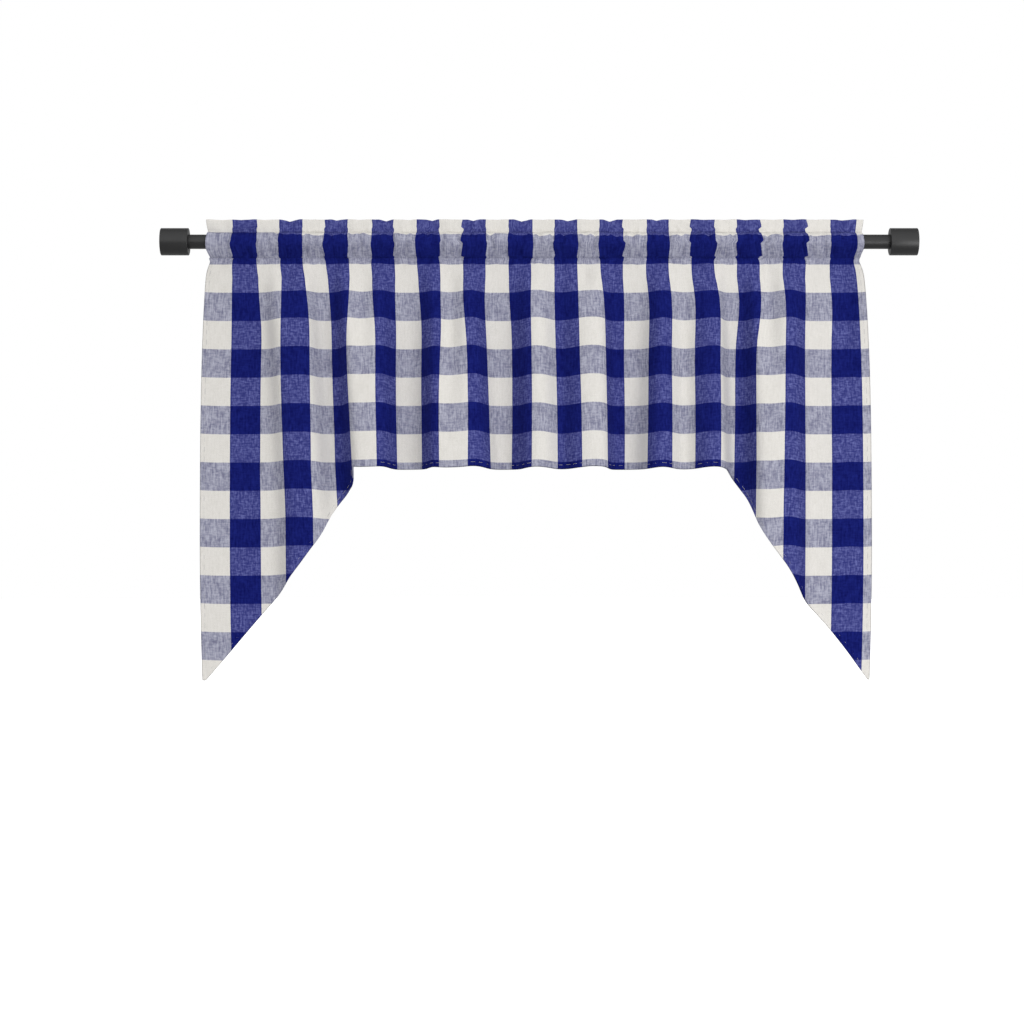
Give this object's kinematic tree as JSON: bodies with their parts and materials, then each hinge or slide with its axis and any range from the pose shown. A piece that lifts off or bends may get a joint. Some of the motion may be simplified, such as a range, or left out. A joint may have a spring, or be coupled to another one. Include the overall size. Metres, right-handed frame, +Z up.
{
  "type": "window valance with curtain rod",
  "caption": "Gathered rod-pocket valance in a woven block check, with a straight centre and long pointed side tails, hanging on a round rod with cylindrical end caps.",
  "frame": {"origin": "on the rod's axis, halfway between the outer faces of its end caps", "axes": "+X along the rod to the right as seen from the room, -Y out into the room, +Z up"},
  "size_m": [1.335, 0.073, 0.8116],
  "materials": {
    "checked_cotton": "matt woven cotton in a navy and off-white check",
    "sewing_thread": "pale matt thread",
    "rod_finish": "satin charcoal paint"
  },
  "bodies": {
    "root": {"valance_cloth": "checked_cotton", "curtain_rod": "rod_finish", "end_cap_left": "rod_finish", "end_cap_right": "rod_finish"}
  },
  "joints": []
}
